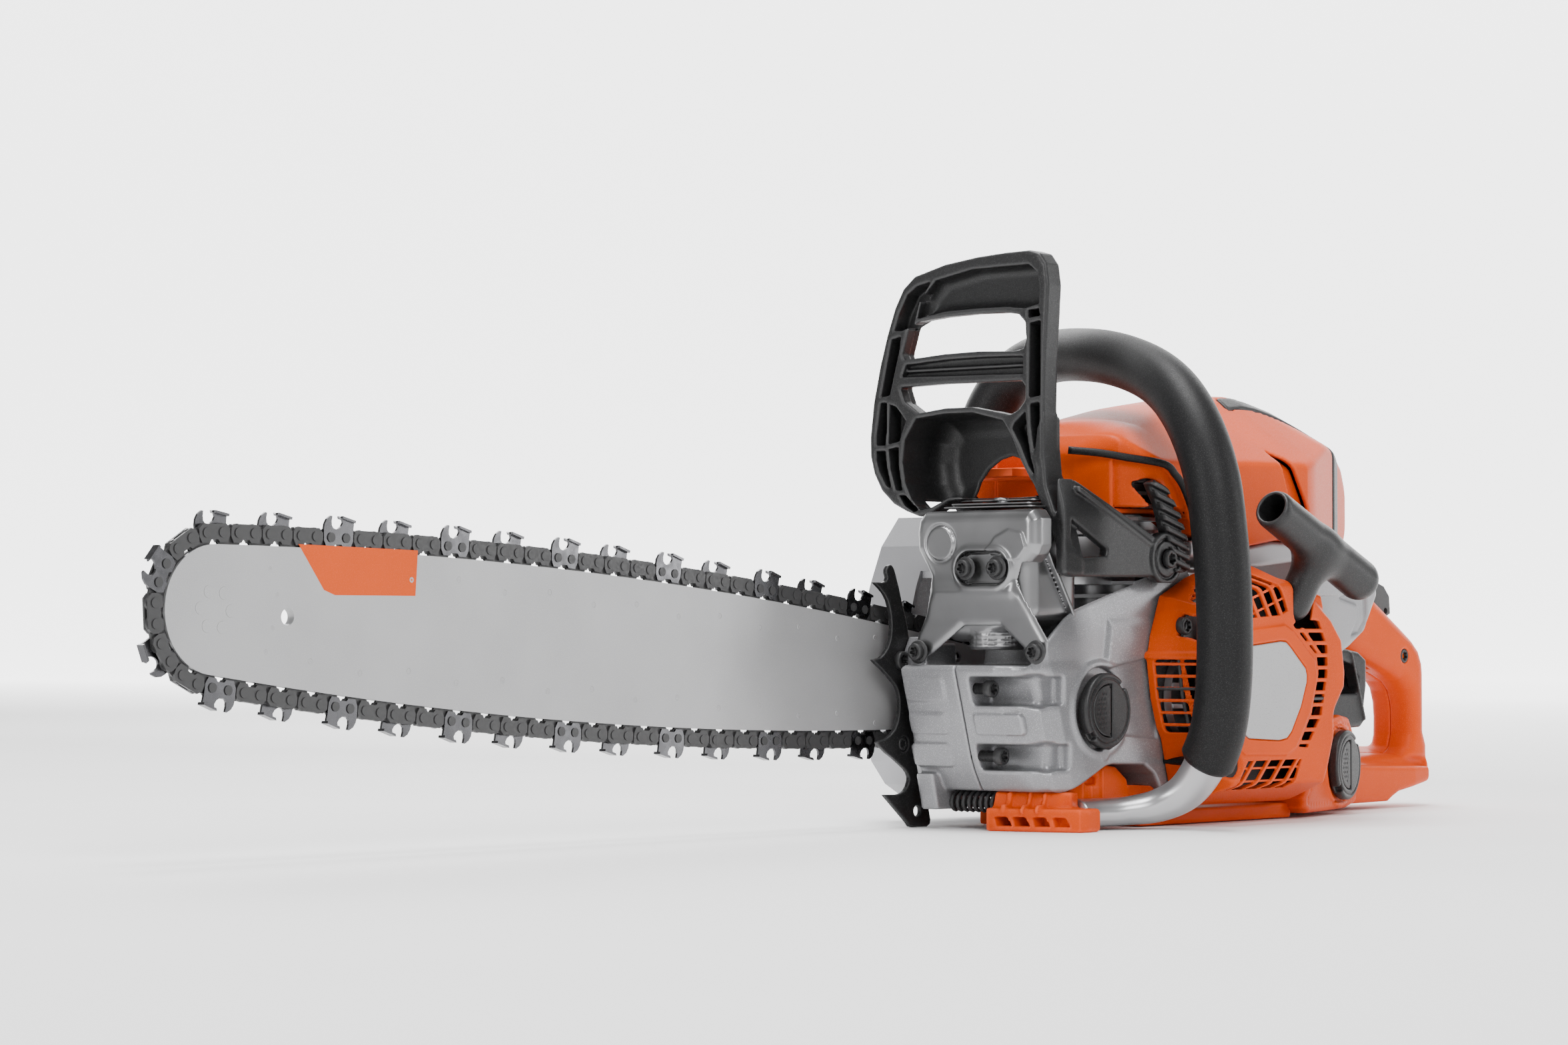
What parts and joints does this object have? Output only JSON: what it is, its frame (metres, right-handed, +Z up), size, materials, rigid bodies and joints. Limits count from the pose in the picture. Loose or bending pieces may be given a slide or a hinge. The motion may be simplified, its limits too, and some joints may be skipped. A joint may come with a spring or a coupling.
{
  "type": "chainsaw",
  "caption": "Petrol chainsaw with a long guide bar and chain, front hand guard, wrap-round front handle, pull starter and closed rear handle.",
  "frame": {"origin": "on the ground, under the middle of the bounding box", "axes": "+X back along the saw, so the bar points along -X; +Y to the clutch and bar side, so the starter is on -Y; +Z up"},
  "size_m": [0.975, 0.2442, 0.31],
  "materials": {
    "bar_steel": "ground and laminated guide bar steel",
    "chain_steel": "dark oiled chain steel",
    "cutter_chrome": "hard-chromed cutter steel",
    "dark_steel": "black painted or blackened steel",
    "bright_steel": "machined steel",
    "cast_metal": "silver-painted magnesium casting",
    "light_alloy": "bare aluminium",
    "muffler_steel": "pressed stainless sheet",
    "orange_plastic": "textured orange moulded plastic",
    "dark_plastic": "textured dark grey moulded plastic",
    "pale_plastic": "light grey moulded plastic",
    "grip_rubber": "dark soft grip sleeve",
    "badge_silver": "satin silver panel",
    "ceramic_white": "glazed ceramic",
    "cord_white": "braided starter cord",
    "filter_felt": "filter felt"
  },
  "bodies": {
    "saw": {"bar_left_plate": "bar_steel", "bar_core": "bar_steel", "bar_right_plate": "bar_steel", "nose_bearing": "bar_steel", "nose_rivets": "bar_steel", "drive_links": "chain_steel", "tie_straps": "chain_steel", "left_cutters": "cutter_chrome", "right_cutters": "cutter_chrome", "chain_rivets": "chain_steel", "bumper_spikes": "dark_steel", "crankcase_right": "cast_metal", "crankcase_left": "cast_metal", "torx_screws": "dark_steel", "cylinder": "light_alloy", "spark_plug": "ceramic_white", "crank_bearings": "bright_steel", "ignition_module": "dark_plastic", "oil_pump": "dark_plastic", "bar_studs": "bright_steel", "bar_nuts": "dark_steel", "clutch_cover": "cast_metal", "brake_band": "dark_steel", "chain_catcher": "light_alloy", "muffler_body": "muffler_steel", "muffler_shield": "muffler_steel", "deflector_plate": "muffler_steel", "starter_cover": "orange_plastic", "badge_panel": "badge_silver", "recoil_spring": "dark_steel", "top_cover": "orange_plastic", "cover_insert": "dark_plastic", "air_filter": "filter_felt", "throttle_body": "light_alloy", "duct_grille": "dark_plastic", "front_handle": "light_alloy", "handle_grip": "grip_rubber", "tank_unit": "orange_plastic", "rear_handle_cover": "orange_plastic", "rear_housing": "pale_plastic", "av_spring": "dark_steel"},
    "crank": {"crankshaft": "bright_steel", "flywheel": "light_alloy", "clutch_hub": "bright_steel"},
    "drum": {"clutch_drum": "bright_steel"},
    "nose": {"nose_sprocket": "bar_steel"},
    "piston_set": {"piston": "light_alloy", "connecting_rod": "bright_steel"},
    "pulley": {"starter_pulley": "pale_plastic", "starter_rope": "cord_white"},
    "pull_handle": {"starter_handle": "dark_plastic"},
    "guard": {"hand_guard": "dark_plastic"},
    "cover_lock": {"snap_lock": "orange_plastic"},
    "trigger": {"throttle_trigger": "dark_plastic"},
    "lockout": {"throttle_lockout": "dark_plastic"},
    "stop": {"stop_lever": "dark_plastic"},
    "oil_lid": {"oil_cap": "dark_plastic"},
    "oil_flap": {"oil_cap_flap": "dark_plastic"},
    "fuel_lid": {"fuel_cap": "dark_plastic"},
    "fuel_flap": {"fuel_cap_flap": "dark_plastic"}
  },
  "joints": [
    {"name": "crank_spin", "type": "hinge", "parent": "saw", "child": "crank", "pos_m": [0.16785, -0.00096, 0.07161], "axis": [0, 1, 0], "continuous": true},
    {"name": "drum_spin", "type": "hinge", "parent": "saw", "child": "drum", "pos_m": [0.16785, 0.06104, 0.07161], "axis": [0, 1, 0], "continuous": true},
    {"name": "nose_spin", "type": "hinge", "parent": "saw", "child": "nose", "pos_m": [-0.44503, 0.06104, 0.1163], "axis": [0, 1, 0], "continuous": true},
    {"name": "piston_travel", "type": "slide", "parent": "saw", "child": "piston_set", "axis": [0, 0, 1], "range_m": [-0.035, 0]},
    {"name": "starter_pull", "type": "slide", "parent": "saw", "child": "pull_handle", "axis": [0.0601, -0.3006, 0.9519], "range_m": [0, 0.7], "stiffness_N_per_m": 8, "springref_m": -0.6},
    {"name": "pulley_turn", "type": "hinge", "parent": "saw", "child": "pulley", "pos_m": [0.16785, -0.07296, 0.07161], "axis": [0, 1, 0], "range_deg": [0, 1765]},
    {"name": "guard_tilt", "type": "hinge", "parent": "saw", "child": "guard", "pos_m": [0.13847, -0.04396, 0.146], "axis": [0, -1, 0], "range_deg": [0, 8]},
    {"name": "lock_lift", "type": "hinge", "parent": "saw", "child": "cover_lock", "pos_m": [0.11847, 0.04104, 0.194], "axis": [0, 1, 0], "range_deg": [0, 60]},
    {"name": "trigger_squeeze", "type": "hinge", "parent": "saw", "child": "trigger", "pos_m": [0.38747, 0.01104, 0.09], "axis": [0, -1, 0], "range_deg": [0, 14], "stiffness_Nm_per_rad": 0.4, "springref_deg": -11.46},
    {"name": "lockout_press", "type": "hinge", "parent": "saw", "child": "lockout", "pos_m": [0.44447, 0.01104, 0.119], "axis": [0, -1, 0], "range_deg": [0, 10], "stiffness_Nm_per_rad": 0.4, "springref_deg": -11.46},
    {"name": "stop_turn", "type": "hinge", "parent": "saw", "child": "stop", "pos_m": [0.33747, -0.02396, 0.072], "axis": [0, 1, 0], "range_deg": [-12, 8]},
    {"name": "oil_cap_turn", "type": "hinge", "parent": "saw", "child": "oil_lid", "pos_m": [0.08647, -0.04616, 0.064], "axis": [0, -1, 0], "range_deg": [0, 90]},
    {"name": "oil_flap_lift", "type": "hinge", "parent": "oil_lid", "child": "oil_flap", "pos_m": [0.08747, -0.05036, 0.064], "axis": [0, 0, 1], "range_deg": [0, 80]},
    {"name": "fuel_cap_turn", "type": "hinge", "parent": "saw", "child": "fuel_lid", "pos_m": [0.32747, -0.03956, 0.029], "axis": [0.23, -0.9732, 0], "range_deg": [0, 90]},
    {"name": "fuel_flap_lift", "type": "hinge", "parent": "fuel_lid", "child": "fuel_flap", "pos_m": [0.32943, -0.04344, 0.029], "axis": [0, 0, 1], "range_deg": [0, 80]}
  ],
  "couplings": [
    {"joint": "pulley_turn", "follows": "starter_pull", "rad_per_m": 44}
  ]
}
